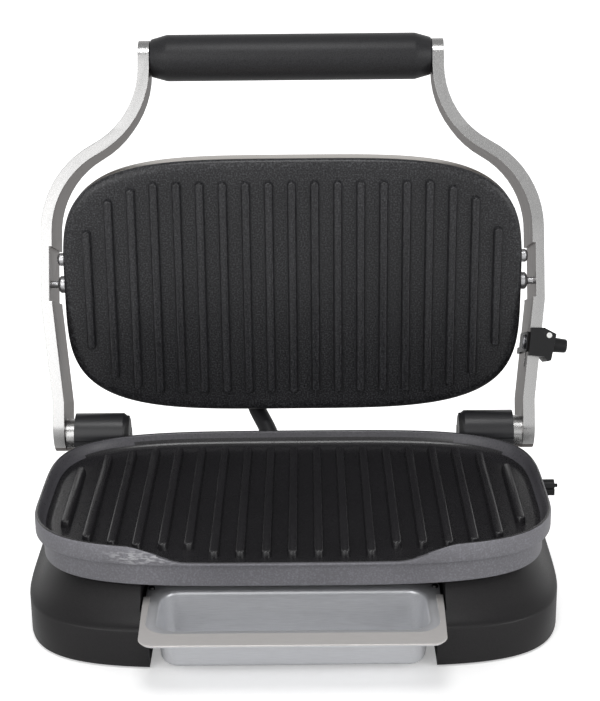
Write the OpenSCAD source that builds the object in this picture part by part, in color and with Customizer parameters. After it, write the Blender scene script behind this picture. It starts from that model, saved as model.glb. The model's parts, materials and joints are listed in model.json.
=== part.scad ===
// Indoor contact grill: two ribbed plates, the upper one hung in a bail that
// swings it over the lower one, with a drip tray in the base.
// Millimetres. The table is z = 0, x is to the right and the front faces -y.

/* [Grill plates] */
// Width of the lower plate over its rim
plate_w = 318; // [306:1:330]
// Depth of the lower plate over its rim
plate_d = 191; // [184:1:198]
// How square the plates' outline is
plate_power = 3.9; // [3.4:0.1:4.6]
// Height of the lower plate's rib tops above the table
rib_top_z = 65.5; // [63:0.5:70]
// Distance between ribs
rib_pitch = 15.5; // [14.8:0.1:15.8]
// Width of a rib at its foot
rib_w = 6.6; // [5:0.1:8]
// Height of a rib
rib_h = 4.5; // [3.5:0.1:5]
// Length of the ribs in the middle of a plate
rib_len = 151.6; // [140:0.5:153]
// How much further the ribs at the pour lip reach
lip_reach = 11.4; // [0:0.1:12]
// How far the rim drops at the pour lip
lip_drop = 6; // [2:0.1:6]
// How much higher the rim stands at its front corners
front_rise = 3.1; // [0:0.1:3.5]

/* [Lid] */
// Thickness of the lid from rib tops to the top of its cover
lid_t = 46; // [42:1:54]
// Distance of the lid's pivots behind its rib tops
pivot_back = 18; // [17:0.5:20]
// Gap between the rib tops of the closed plates
closed_gap = 0.5; // [0.3:0.1:3]
// How far the open bail leans back from upright
lean = 20.6; // [15:0.1:24]

/* [Bail] */
// Thickness of an arm
arm_t = 8; // [6:0.5:9]
// Depth of an arm beside the lid
arm_depth = 49; // [44:1:52]
// Gap between the lid and an arm
arm_gap = 7.5; // [7:0.5:9]
// Distance of the handle from the hinge
handle_r = 260.7; // [256:1:280]
// Diameter of the handle
handle_d = 32; // [28:1:36]
// Length of the handle
handle_len = 194.4; // [180:1:210]

/* [Base] */
// Height of the base's upright wall above the table
wall_z = 25; // [22:1:28]
// Width of the base
base_w = 327; // [322:1:336]
// Depth of the base
base_d = 238; // [230:1:244]
// Height of the feet
foot_h = 1; // [0.5:0.5:3]

/* [Drip tray] */
// Width of the tray over its flange
tray_w = 177.6; // [166:0.2:178.6]
// How much each side of the flange draws in towards the front
tray_taper = 2.4; // [0:0.1:4]
// How far the tray's front stands out of the base
tray_out = 28.5; // [20:0.5:34]
// Height of the tray's flange above the table
tray_z = 34; // [32:1:35]

/* [Hidden] */
$fn = 48;

left = -1;
right = 1;
front = -1;
rear = 1;

// The plates lie on one another when closed, so the hinge sets both places.
half_w = plate_w / 2;
half_d = plate_d / 2;
plate_y = -2;
floor_z = rib_top_z - rib_h;
rim_z = rib_top_z + 4;
plate_under_z = floor_z - 4.5;
band_z = floor_z;
skirt_z = floor_z - 15;
skirt_inset = 4.5;
lid_half_w = half_w - 2.2;
lid_half_d = half_d - 5.8;
lid_back_z = -10;
rib_n = 19;
plate_steps = 72;
shell_steps = 48;

hinge_y = half_d + 6.5;
hinge_z = rib_top_z - 1.5;
closed_z = rib_top_z + closed_gap + pivot_back;
pivot_r = sqrt(pow(hinge_y, 2) + pow(closed_z - hinge_z, 2));
lid_face_y = hinge_y + pivot_r * sin(lean) - pivot_back;
lid_mid_z = hinge_z + pivot_r * cos(lean);
stop_pin_up = 18;

// The bail's arm, seen from the front, in its own upright frame.
arm_mid_x = lid_half_w + arm_gap + arm_t / 2;
arm_hub_x = arm_mid_x - 7.8;
arm_top_x = handle_len / 2 + 0.3 + arm_t / 2;
arm_low = 22;
arm_knee = 90;
bend_low = 140;
bend_high = handle_r - 8.7;
bend_in = arm_mid_x - arm_top_x;
bend_angle = 2 * atan(bend_in / (bend_high - bend_low));
bend_r = (bend_high - bend_low) / 2 / sin(bend_angle);
arm_front = 16;
arm_back = arm_depth - arm_front;
arm_end_r = 12;
hub_corner_r = 18;
hub_drop = 11.5;
boss_r = 11;
pin_r = 5;
running = 0.05;
pocket_in = 2;
housing_in_x = arm_hub_x - arm_t / 2 - 6.3;
housing_len = 37;
housing_r = 13.5;
pedestal_z = 50;

// The height adjuster slides on the straight leaning part of the right arm.
slope = atan((arm_mid_x - arm_hub_x) / (arm_knee - arm_low));
slide_at = 60.7;
slide_x = arm_hub_x + (slide_at - arm_low) * tan(slope);
skin = arm_t / 2 * cos(slope);
slide_down = 14;
clear = 0.3;
block_out = 9.4;
knob_len = 10;
knob_y = -3;
screw_r = 3;

base_half_w = base_w / 2;
base_half_d = base_d / 2;
base_y = 10;
base_power = 4.6;
neck_w = half_w - 13;
neck_d = half_d - 10.5;
base_front_y = base_y - base_half_d;
shell = 3;

tray_half_w = tray_w / 2;
tray_front_y = base_front_y - tray_out;
tray_back_y = -60;
tray_step_y = -82;
tray_step_in = 1.4;
bay_half_w = tray_half_w + 0.7;
ledge_half_w = tray_half_w - 4.5;
ledge_z = tray_z - 4;
bay_back_y = tray_back_y + 4;
bay_wall = 2.5;

// The frame's origin is on the table under the middle of the whole grill.
knob_reach = slide_x + (skin + block_out + knob_len + clear) * cos(slope);
middle_x = round((knob_reach - arm_mid_x - arm_t / 2) / 2);
handle_y = hinge_y + handle_r * sin(lean);
middle_y = round((tray_front_y + handle_y + handle_d / 2) / 2);

module stand() translate([-middle_x, -middle_y, 0]) children();
module lid_frame() stand() translate([0, lid_face_y, lid_mid_z]) rotate([90, 0, 0]) children();
module arm_frame() stand() translate([0, hinge_y, hinge_z]) rotate([-lean, 0, 0]) children();
module on_side(s) mirror([s < 0 ? 1 : 0, 0, 0]) children();
module slide_frame() arm_frame() translate([slide_x, 0, slide_at]) rotate([0, slope, 0]) children();
module along_x(x1, x2, r1, r2 = undef)
    translate([x1, 0, 0]) rotate([0, 90, 0]) cylinder(h = x2 - x1, r1 = r1, r2 = is_undef(r2) ? r1 : r2);

// A superellipse, the outline of the plates and the base.
function outline(a, b, power, steps) = [
    for (i = [0 : steps - 1])
        let (t = 360 * i / steps, c = cos(t), s = sin(t))
        [a * sign(c) * pow(abs(c), 2 / power), b * sign(s) * pow(abs(s), 2 / power)]
];
function ring(a, b, power, steps, y, z) = [
    for (p = outline(a, b, power, steps)) [p[0], p[1] + y, z]
];
function mix(a, b, t) = a + (b - a) * t;
function smooth(t) = let (u = max(0, min(1, t))) u * u * (3 - 2 * u);

// A closed skin over rings of equal length, the lowest ring first.
module loft(rings) {
    n = len(rings[0]);
    last = (len(rings) - 1) * n;
    polyhedron(
        points = [for (r = rings) for (p = r) p],
        faces = concat(
            [[for (i = [0 : n - 1]) i]],
            [[for (i = [0 : n - 1]) last + n - 1 - i]],
            [for (k = [0 : len(rings) - 2]) for (i = [0 : n - 1])
                let (j = (i + 1) % n) [k * n + i, (k + 1) * n + i, (k + 1) * n + j]],
            [for (k = [0 : len(rings) - 2]) for (i = [0 : n - 1])
                let (j = (i + 1) % n) [k * n + i, (k + 1) * n + j, k * n + j]]
        )
    );
}

// Ribs with round ends and sloping sides, shorter towards the plate's ends.
rib_edge = (rib_n - 1) / 2 * rib_pitch + 3.3;
function rib_half(x) = min(rib_len / 2,
    (rib_len / 2 + 4.2) * pow(1 - pow(abs(x) / rib_edge, plate_power), 1 / plate_power));

module rib(x, y1, y2, z1, z2)
    hull() for (y = [y1, y2])
        translate([x, y, z1]) cylinder(h = z2 - z1, r1 = rib_w / 2, r2 = rib_w / 2 - 0.9, $fn = 16);

module ribs(z1, z2, reach)
    for (i = [-(rib_n - 1) / 2 : (rib_n - 1) / 2]) {
        x = i * rib_pitch;
        half = rib_half(x) - rib_w / 2;
        rib(x, -half - (abs(i) <= 3 ? reach : 0), half, z1, z2);
    }

// Base body

// Steps of the base's shell: how far in towards the neck, and the height.
base_steps = [[0, foot_h], [0, wall_z - 1.5], [0.03, wall_z], [0.22, wall_z + 2.5],
    [0.46, wall_z + 7], [0.7, wall_z + 12.5], [0.9, skirt_z - 2.5], [1, skirt_z]];
function base_ring(t, z, inset) = ring(
    mix(base_half_w, neck_w, t) - inset, mix(base_half_d, neck_d, t) - inset,
    mix(base_power, plate_power, t), shell_steps, mix(base_y, plate_y, t), z);

function screw_at(s, f) = f < 0 ? [s * (base_half_w - 53.5), base_front_y + 49, 0]
    : [s * (housing_in_x - 22), hinge_y - 6, 0];
foot_x = base_half_w - 45.5;
foot_y = [base_front_y + 35, base_y + base_half_d - 27];
gland_x = 60;
gland_z = 14.5;
gland_face_y = base_y + base_half_d + 1;
lead_x = -13;
lead_y = base_y + base_half_d - 10;
lead_seat_z = wall_z + 8;

module bay_space(grow) {
    translate([-ledge_half_w - grow, base_front_y - 20, -5])
        cube([2 * (ledge_half_w + grow), bay_back_y - base_front_y + 20 + grow, ledge_z + 5.01]);
    translate([-bay_half_w - grow, base_front_y - 20, grow > 0 ? -5 : ledge_z])
        cube([2 * (bay_half_w + grow), bay_back_y - base_front_y + 20 + grow, 60]);
}

module base_housing() color("#36363a") stand() difference() {
    union() {
        difference() {
            loft([for (s = base_steps) base_ring(s[0], s[1], 0)]);
            difference() {
                loft([for (s = base_steps) base_ring(s[0], s[1] - (s[1] == foot_h ? 1 : shell), shell)]);
                bay_space(bay_wall);
            }
        }
        for (s = [left, right]) {
            on_side(s) translate([housing_in_x - housing_len, hinge_y - housing_r, wall_z - 4])
                cube([housing_len, 2 * housing_r, pedestal_z - wall_z + 4]);
            for (f = [front, rear])
                translate(screw_at(s, f) + [0, 0, foot_h + 2.5])
                    cylinder(h = skirt_z - foot_h - 4, r = 4.5);
        }
        translate([gland_x, gland_face_y - 10, gland_z]) rotate([-90, 0, 0]) cylinder(h = 10, r = 9.5);
        translate([lead_x, lead_y, wall_z - 6]) cylinder(h = lead_seat_z - wall_z + 6, r = 10.5);
    }
    bay_space(0);
    for (s = [left, right], f = [front, rear])
        translate(screw_at(s, f) + [0, 0, foot_h]) cylinder(h = 12, r = 1.5);
    translate([gland_x, gland_face_y - 15, gland_z]) rotate([-90, 0, 0]) cylinder(h = 20, r = 6);
    translate([lead_x, lead_y, wall_z - 8]) cylinder(h = 20, r = 7.5);
}

module base_cover() color("#2c2c2e") stand() difference() {
    translate([0, base_y, foot_h]) linear_extrude(2.5)
        polygon(outline(base_half_w - shell - clear, base_half_d - shell - clear, base_power, shell_steps));
    translate([-bay_half_w - bay_wall - clear, base_front_y - 5, 0])
        cube([2 * (bay_half_w + bay_wall + clear), bay_back_y + bay_wall + clear - base_front_y + 5, 20]);
    for (s = [left, right]) {
        for (f = [front, rear]) {
            translate(screw_at(s, f) + [0, 0, foot_h - 1]) cylinder(h = 5, r = 1.8);
            translate(screw_at(s, f) + [0, 0, foot_h - 1]) cylinder(h = 2.3, r = 3.8);
        }
        for (y = foot_y) translate([s * foot_x, y, foot_h - 1]) cylinder(h = 5, r = 3);
    }
}

module base_screw(s, f) color("#b0b0b2") stand() translate(screw_at(s, f) + [0, 0, foot_h]) {
    translate([0, 0, 0.2]) cylinder(h = 1.1, r = 3.5);
    translate([0, 0, 1.3]) cylinder(h = 9, r = 1.5);
}

module foot(s, f) color("#1b1b1c") stand() translate([s * foot_x, foot_y[f < 0 ? 0 : 1], 0]) {
    cylinder(h = foot_h, r1 = 8.5, r2 = 9.5);
    cylinder(h = foot_h + 2.4, r = 3);
}

module plate_skirt() color("#4a4a4c") stand() difference() {
    translate([0, plate_y, skirt_z]) linear_extrude(band_z - skirt_z)
        polygon(outline(half_w - skirt_inset, half_d - skirt_inset, plate_power, plate_steps));
    translate([0, plate_y, skirt_z + 1]) linear_extrude(band_z - skirt_z)
        polygon(outline(half_w - skirt_inset - 2.5, half_d - skirt_inset - 2.5, plate_power, plate_steps));
}

// Steps of the lower plate's edge from its underside round the rim to the floor:
// inset from the outline, height, and how much of the rim's rise and drop it takes.
edge_in = skirt_inset + 2.8;
rim_steps = [[edge_in + 2, plate_under_z, 0], [edge_in, plate_under_z + 1.5, 0], [edge_in, band_z, 0],
    [1, band_z, 0], [0, band_z + 1, 0], [0, rim_z - 1, 1], [0.7, rim_z, 1], [2.2, rim_z, 1],
    [3, rim_z - 1.2, 1], [4.6, floor_z + 3, 0.35], [7, floor_z + 0.8, 0], [9.5, floor_z, 0]];
lip_outer = 98.5;
lip_inner = 61.5;
function lip_share(p) = p[1] < 0 ? smooth((lip_outer - abs(p[0])) / (lip_outer - lip_inner)) : 0;
function rim_rise(p) = front_rise * smooth((-p[1] - 8) / 60) * (1 - lip_share(p)) - lip_drop * lip_share(p);
function rim_ring(s) = [
    for (p = outline(half_w - s[0], half_d - s[0], plate_power, plate_steps))
        [p[0], p[1] + plate_y, s[1] + s[2] * rim_rise(p)]
];

module lower_plate() color("#2b2a2c") stand() {
    loft([for (s = rim_steps) rim_ring(s)]);
    ribs(floor_z - 0.5, rib_top_z, lip_reach);
}

// A hairpin tube heater, its bend to the right.
element_r = 3.25;
element_run = half_d - 50.5;
element_bend_x = half_w - 99;
element_end_x = half_w - 54;
module element_tube(z) {
    translate([0, 0, z]) {
        for (y = [-element_run, element_run])
            translate([0, y, 0]) {
                along_x(-element_end_x, element_bend_x, element_r);
                along_x(-element_end_x - 12, -element_end_x, 1.8);
            }
        translate([element_bend_x, 0, 0]) rotate([0, 0, -90])
            rotate_extrude(angle = 180) translate([element_run, 0]) circle(element_r);
    }
}
module lower_element() color("#8c8880") stand() element_tube(plate_under_z - element_r);

reflector_z = skirt_z + 3;
post_x = half_w - 49;
post_y = half_d - 45.5;
module lower_reflector() color("#c8c8c6") stand() {
    translate([0, plate_y, reflector_z]) linear_extrude(0.6)
        polygon(outline(half_w - 16, half_d - 16, plate_power, shell_steps));
    for (x = [-post_x, post_x], y = [-post_y, post_y])
        translate([x, y, skirt_z + 1]) cylinder(h = reflector_z - skirt_z - 1, r = 3);
    for (x = [-element_end_x + 15, element_bend_x - 10], y = [-element_run, element_run])
        translate([x, y, reflector_z]) cylinder(h = plate_under_z - 2 * element_r - reflector_z, r = 2.5);
}
module lower_thermostat() color("#b8b4a8") stand() translate([-60, 0, plate_under_z - 6.5]) {
    cylinder(h = 6.5, r = 9);
    translate([-3, -13, 0]) cube([6, 26, 1.2]);
}
module thermal_fuse() color("#d8d4c8") stand() translate([-8, 14, plate_under_z - 5]) {
    translate([0, 0, 1.5]) cube([22, 7, 3.5]);
    translate([-6, 3.5, 2.6]) along_x(0, 34, 1);
}

module hinge_housing(s) color("#2e2e31") stand() on_side(s) difference() {
    union() {
        translate([0, hinge_y, hinge_z]) {
            along_x(housing_in_x - housing_len + 4, housing_in_x, housing_r);
            along_x(housing_in_x - housing_len, housing_in_x - housing_len + 4, housing_r - 3, housing_r);
        }
        translate([housing_in_x - housing_len, hinge_y - housing_r, pedestal_z])
            cube([housing_len, 2 * housing_r, hinge_z - pedestal_z - 0.5]);
    }
    translate([0, hinge_y, hinge_z]) along_x(housing_in_x - 32, housing_in_x + 1, pin_r);
}
module hinge_pin(s) color("#c4c4c6") stand() on_side(s) translate([0, hinge_y, hinge_z]) {
    along_x(housing_in_x - 32, arm_hub_x + 1.4, pin_r);
    along_x(arm_hub_x + 1.4, arm_hub_x + 3.4, 8.5);
}

// The keeper is a small hooked finger on the right of the skirt.
keeper_y = 20;
keeper_z = band_z - 3.2;
keeper_len = 15;
keeper_out = half_w + 1;
keeper_seat = pow(1 - pow((keeper_y - 4 - plate_y) / (half_d - skirt_inset), plate_power), 1 / plate_power);
keeper_x = (half_w - skirt_inset) * keeper_seat + clear;
module side_keeper() color("#1d1d1e") stand() translate([0, keeper_y, keeper_z]) difference() {
    union() {
        translate([keeper_x - 0.1, -4, -3]) cube([keeper_out + 2 - keeper_x, 8, 6]);
        translate([0, 0, 1]) along_x(keeper_out, keeper_x + keeper_len, 4.2);
        translate([keeper_out + 1.5, -5.5, -3.5]) cube([keeper_x + keeper_len - keeper_out - 1.5, 5, 4]);
    }
    translate([0, 2, 0.3]) along_x(keeper_x - 1, keeper_x + keeper_len + 2, 1.2);
}
module keeper_rivet() color("#3a3a3c") stand() translate([0, keeper_y + 2, keeper_z + 0.3])
    along_x(keeper_x + 0.1, keeper_x + keeper_len + 1, 1.2);

module mains_gland() color("#202021") stand() translate([gland_x, gland_face_y, gland_z]) rotate([-90, 0, 0])
    difference() {
        union() {
            translate([0, 0, -12]) cylinder(h = 12, r = 6);
            cylinder(h = 3, r1 = 8.5, r2 = 7.5);
        }
        translate([0, 0, -13]) cylinder(h = 17, r = 3.6);
    }
module lead_gland_base() color("#202021") stand() translate([lead_x, lead_y, lead_seat_z]) {
    translate([0, 0, -12]) cylinder(h = 12, r = 7.5);
    cylinder(h = 4, r1 = 9.5, r2 = 8);
}

// Arms body

// The arm from the front: up from the hub, out past the lid, then an S-bend in to the handle.
function bend(side) = concat(
    [for (i = [0 : 10]) let (a = bend_angle * i / 10, r = bend_r + side)
        [arm_mid_x - bend_r + r * cos(a), bend_low + r * sin(a)]],
    [for (i = [0 : 10]) let (a = bend_angle * (1 - i / 10), r = bend_r - side)
        [arm_top_x + bend_r - r * cos(a), bend_high - r * sin(a)]]
);
function arm_edge(side) = concat(
    [[arm_hub_x + side, -40], [arm_hub_x + side, arm_low], [arm_mid_x + side, arm_knee]],
    bend(side), [[arm_top_x + side, handle_r + 40]]
);
function turned(list) = [for (i = [len(list) - 1 : -1 : 0]) list[i]];

// The arm from the side, its front to the left: a deep blade that narrows to the handle.
module arm_side() {
    hull() {
        for (y = [hub_corner_r - arm_front, arm_back - hub_corner_r])
            translate([y, hub_corner_r - hub_drop]) circle(hub_corner_r);
        for (y = [6 - arm_front, arm_back - 6]) translate([y, bend_low]) circle(6);
    }
    hull() {
        for (y = [6 - arm_front, arm_back - 6]) translate([y, bend_low]) circle(6);
        translate([0, bend_high - 42]) circle(arm_end_r);
    }
    hull() for (z = [bend_high - 42, handle_r]) translate([0, z]) circle(arm_end_r);
}

module arm_blank() difference() {
    union() {
        intersection() {
            rotate([90, 0, 0]) linear_extrude(arm_depth * 3, center = true)
                polygon(concat(arm_edge(arm_t / 2), turned(arm_edge(-arm_t / 2))));
            translate([80, 0, 0]) rotate([90, 0, 90]) linear_extrude(110) arm_side();
        }
        along_x(housing_in_x + clear, arm_hub_x, boss_r);
    }
    along_x(housing_in_x - 1, arm_hub_x + 20, pin_r + running);
    along_x(arm_hub_x + 1.3, arm_hub_x + 20, 9);
    translate([arm_mid_x - arm_t, -60, pivot_r - 12]) cube([arm_t / 2 + pocket_in, 120, 37]);
    translate([0, 0, pivot_r])
        along_x(arm_mid_x - arm_t, arm_mid_x + arm_t / 2 - 1.2, pivot_shaft_r + running);
    translate([0, 0, handle_r]) {
        along_x(arm_top_x - 20, arm_top_x + 20, 2.6);
        along_x(arm_top_x + 1, arm_top_x + 20, 5.2);
    }
}

module arm_left() color("#b4b4b6") arm_frame() on_side(left) arm_blank();
module arm_right() color("#b4b4b6") difference() {
    arm_frame() arm_blank();
    slide_frame() translate([-10, knob_y, 0]) rotate([0, 90, 0]) linear_extrude(20) {
        for (x = [-clear, slide_down + clear]) translate([x, 0]) circle(screw_r + 0.4);
        translate([-clear, -screw_r - 0.4]) square([slide_down + 2 * clear, 2 * screw_r + 0.8]);
    }
}

handle_taper = 11;
module handle_grip() color("#353436") arm_frame() translate([0, 0, handle_r]) rotate([0, 90, 0])
    rotate_extrude() polygon([
        [4, -handle_len / 2], [handle_d / 2 - 3, -handle_len / 2],
        [handle_d / 2, -handle_len / 2 + handle_taper], [handle_d / 2, handle_len / 2 - handle_taper],
        [handle_d / 2 - 3, handle_len / 2], [4, handle_len / 2]
    ]);
module handle_rod() color("#c4c4c6") arm_frame() translate([0, 0, handle_r]) difference() {
    along_x(-arm_top_x + arm_t / 2, arm_top_x - arm_t / 2, 4);
    for (s = [left, right]) on_side(s) along_x(arm_top_x - 20, arm_top_x, 2.4);
}
module handle_screw(s) color("#a8a8aa") arm_frame() translate([0, 0, handle_r]) on_side(s) {
    along_x(arm_top_x - 19, arm_top_x + 1, 2.4);
    along_x(arm_top_x + 1, arm_top_x + 3.4, 5);
}

// The lead's middle line from the base's gland to the lid's gland.
lid_gland_x = -27.5;
lid_gland_deep = 24.5;
lid_gland_y = lid_face_y + lid_gland_deep;
lid_gland_z = lid_mid_z - lid_half_d - 3.7;
lead_route = [
    [lead_x, lead_y, lead_seat_z + 4], [lead_x, lead_y, lead_seat_z + 8],
    [-15.5, mix(lead_y, lid_gland_y, 0.2), mix(lead_seat_z, lid_gland_z, 0.45)],
    [-19.5, mix(lead_y, lid_gland_y, 0.55), mix(lead_seat_z, lid_gland_z, 0.62)],
    [-25.5, mix(lead_y, lid_gland_y, 0.96), mix(lead_seat_z, lid_gland_z, 0.8)],
    [lid_gland_x, lid_gland_y, lid_gland_z - 3], [lid_gland_x, lid_gland_y, lid_gland_z]
];
lead_r = 6;
lead_sides = 12;
function unit(v) = v / norm(v);
function tangent(r, i) = unit(r[min(i + 1, len(r) - 1)] - r[max(i - 1, 0)]);
function tube_ring(c, t, r) = let (u = unit(cross([0, 1, 0], t)), v = cross(t, u))
    [for (k = [0 : lead_sides - 1]) let (a = 360 * k / lead_sides) c + r * cos(a) * u + r * sin(a) * v];
module lid_lead() color("#1c1c1e") stand() loft([
    for (i = [0 : len(lead_route) - 1])
        let (straight = i == 0 || i == len(lead_route) - 1)
        tube_ring(lead_route[i], straight ? [0, 0, 1] : tangent(lead_route, i), lead_r)
]);

// Lid body, in the lid's own frame: z = 0 at the rib tops and the cover below

face_steps = [[2, lid_back_z], [0.6, lid_back_z], [0, lid_back_z + 1], [0, -rib_h - 3.5],
    [1, -rib_h - 1.6], [3, -rib_h - 0.5], [6, -rib_h]];
module lid_plate() color("#333335") lid_frame() {
    loft([for (s = face_steps)
        ring(lid_half_w - s[0], lid_half_d - s[0], plate_power, plate_steps, 0, s[1])]);
    ribs(-rib_h - 0.5, 0, 0);
}

// Steps of the cover from its top to its edge: inset, and height as a share of its depth.
cover_steps = [[46, 1], [26, 0.975], [12, 0.87], [4, 0.67], [0.8, 0.4], [0.2, 0.06], [0.4, 0]];
cover_depth = lid_t + lid_back_z;
cover_t = 1.2;
bracket_w = 15;
bracket_x = lid_half_w - bracket_w - 3;
pivot_shaft_r = 2.5;
stop_shaft_r = 2;
module cover_solid(t) loft([for (s = cover_steps)
    ring(lid_half_w - s[0] - t, lid_half_d - s[0] - t, plate_power, shell_steps, 0,
        lid_back_z - s[1] * (cover_depth - t) + (s[1] == 0 ? t : 0))]);
module lid_cover() color("#bdbdbf") lid_frame() difference() {
    cover_solid(0);
    cover_solid(cover_t);
    for (s = [left, right]) on_side(s) {
        translate([0, 0, -pivot_back]) along_x(bracket_x, lid_half_w + 5, pivot_shaft_r);
        translate([0, stop_pin_up, -pivot_back]) along_x(bracket_x, lid_half_w + 5, stop_shaft_r);
    }
    translate([lid_gland_x, -lid_half_d + 6, -lid_gland_deep]) rotate([90, 0, 0]) cylinder(h = 10, r = 6.5);
}
module lid_element() color("#8c8880") lid_frame() element_tube(lid_back_z - element_r);
lid_reflector_z = lid_back_z - 10.6;
module lid_reflector() color("#c8c8c6") lid_frame() {
    translate([0, 0, lid_reflector_z]) linear_extrude(0.6)
        polygon(outline(lid_half_w - 26, lid_half_d - 16, plate_power, shell_steps));
    for (x = [-post_x, post_x], y = [-post_y, post_y])
        translate([x, y, lid_reflector_z]) cylinder(h = lid_back_z - lid_reflector_z, r = 3);
}
module lid_thermostat() color("#b8b4a8") lid_frame() translate([-60, 0, lid_back_z - 6.5]) {
    cylinder(h = 6.5, r = 9);
    translate([-3, -13, 0]) cube([6, 26, 1.2]);
}
module lid_bracket(s) color("#9a9a9c") lid_frame() on_side(s) difference() {
    translate([bracket_x, -10, -pivot_back - 7])
        cube([bracket_w, stop_pin_up + 18, pivot_back + 7 + lid_back_z]);
    translate([0, 0, -pivot_back]) along_x(bracket_x - 1, bracket_x + bracket_w + 1, pivot_shaft_r);
    translate([0, stop_pin_up, -pivot_back]) along_x(bracket_x - 1, bracket_x + bracket_w + 1, stop_shaft_r);
}
// A pin with a domed collar that shows between the lid and the arm.
module collar_pin(collar_r, shaft_r, tip_x) {
    along_x(bracket_x, tip_x, shaft_r);
    along_x(lid_half_w + 0.1, lid_half_w + 3.6, collar_r);
    along_x(lid_half_w + 3.6, lid_half_w + 5.1, collar_r, collar_r - 1.8);
}
pivot_tip_x = arm_mid_x + arm_t / 2 - 1.6;
module pivot_pin(s) color("#d0d0d2") lid_frame() on_side(s) translate([0, 0, -pivot_back])
    collar_pin(6, pivot_shaft_r, pivot_tip_x);
module stop_pin(s) color("#d0d0d2") lid_frame() on_side(s) translate([0, stop_pin_up, -pivot_back])
    collar_pin(4.5, stop_shaft_r, lid_half_w + 5.1);
module lead_gland_lid() color("#202021") lid_frame() translate([lid_gland_x, -lid_half_d, -lid_gland_deep])
    rotate([90, 0, 0]) {
    translate([0, 0, -6]) cylinder(h = 6.1, r = 6.5);
    translate([0, 0, 0.1]) cylinder(h = 3.5, r1 = 9, r2 = 8);
}

// Drip tray body: a pressed pan with a rolled flange

pan_top = tray_z - 0.01;
pan_bottom_z = foot_h + 2;
pan_half_w = tray_half_w - 8.8;
pan_back_y = tray_back_y - 12;
module pan(t) hull() {
    for (s = [left, right]) {
        for (y = [tray_front_y + 10 + 9, pan_back_y - 9])
            translate([s * (pan_half_w - 9), y, pan_top]) cylinder(h = 0.01, r = 9 - t, $fn = 32);
        for (y = [tray_front_y + 22.5 + 9, pan_back_y - 1.5 - 9])
            translate([s * (pan_half_w - 11), y, pan_bottom_z + t]) cylinder(h = 0.01, r = 9 - t, $fn = 32);
    }
}
// The flange draws in to the front, and steps in where it runs under the plate.
module flange(inset, h) linear_extrude(h) {
    hull() {
        for (s = [left, right])
            translate([s * (tray_half_w - tray_taper - 8), tray_front_y + 8]) circle(8 - inset);
        translate([-tray_half_w + inset, tray_step_y - 1]) square([tray_w - 2 * inset, 1]);
    }
    translate([-tray_half_w + tray_step_in + inset, tray_step_y - 2])
        square([tray_w - 2 * tray_step_in - 2 * inset, tray_back_y - inset - tray_step_y + 2]);
}
stud_x = tray_half_w - 3.8;
stud_y = -70;
module drip_tray() color("#b9b9bb") stand() difference() {
    union() {
        pan(0);
        translate([0, 0, tray_z - 1]) flange(0, 1);
        translate([0, 0, ledge_z + clear]) difference() {
            flange(0, tray_z - ledge_z - clear - 0.5);
            translate([0, 0, -1]) flange(1.2, 10);
        }
    }
    pan(1);
    translate([0, 0, 0.5]) pan(1);
    for (s = [left, right]) translate([s * stud_x, stud_y, 20]) cylinder(h = 20, r = 1);
}
module tray_stud(s) color("#161617") stand() translate([s * stud_x, stud_y, tray_z]) {
    cylinder(h = 1.6, r1 = 2.1, r2 = 1.5);
    translate([0, 0, -1.8]) cylinder(h = 1.8, r = 1);
}

// Height adjuster bodies, in the frame of the arm's leaning part

module block_outline() polygon([[-skin, -9.5], [6.5, -9.5], [9.6, -12.3], [11.6, -11.4],
    [skin + block_out, 6.8], [5, 10.2], [-skin, 9.5]]);
module adjuster_block() color("#222224") slide_frame() difference() {
    translate([0, 8, 0]) rotate([90, 0, 0]) linear_extrude(30) block_outline();
    translate([-20, -arm_front - clear, -20]) cube([20 + skin + clear, 60, 40]);
    translate([0, knob_y, 0]) along_x(0, 30, screw_r + running);
    translate([8.6, -23, 5.4]) rotate([-90, 0, 0]) cylinder(h = 1.6, r = 1.9);
}
module index_dot() color("#f0f0ee") slide_frame() translate([8.6, -22.3, 5.4]) rotate([-90, 0, 0])
    cylinder(h = 0.9, r = 1.9);
module adjuster_plate() color("#1a1a1b") slide_frame() difference() {
    union() {
        translate([-skin - clear - 1.2, 1 - arm_front, -6.8]) cube([1.2, arm_depth - 9, 13.6]);
        translate([-skin - clear - 1.2, 20, -7.5]) cube([1.2, arm_back - 18, 4.5]);
        translate([-skin - clear - 1.2, arm_back + clear, -7.5]) cube([4, 1.7, 4.5]);
    }
    translate([-10, knob_y, 0]) along_x(0, 20, screw_r + running);
}
module adjuster_knob() color("#1c1c1d") slide_frame() translate([0, knob_y, 0]) difference() {
    union() {
        along_x(skin + block_out + clear, skin + block_out + clear + knob_len - 1, 5.2, 4.7);
        along_x(skin + block_out + clear + knob_len - 1, skin + block_out + clear + knob_len, 4.7, 3.9);
    }
    along_x(0, skin + block_out + clear + 7, screw_r);
}
module adjuster_screw() color("#b0b0b2") slide_frame() translate([0, knob_y, 0]) {
    along_x(-skin - clear - 1.3, skin + block_out + clear + 7, screw_r);
    along_x(-skin - clear - 2.6, -skin - clear - 1.3, 5);
}

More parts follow.
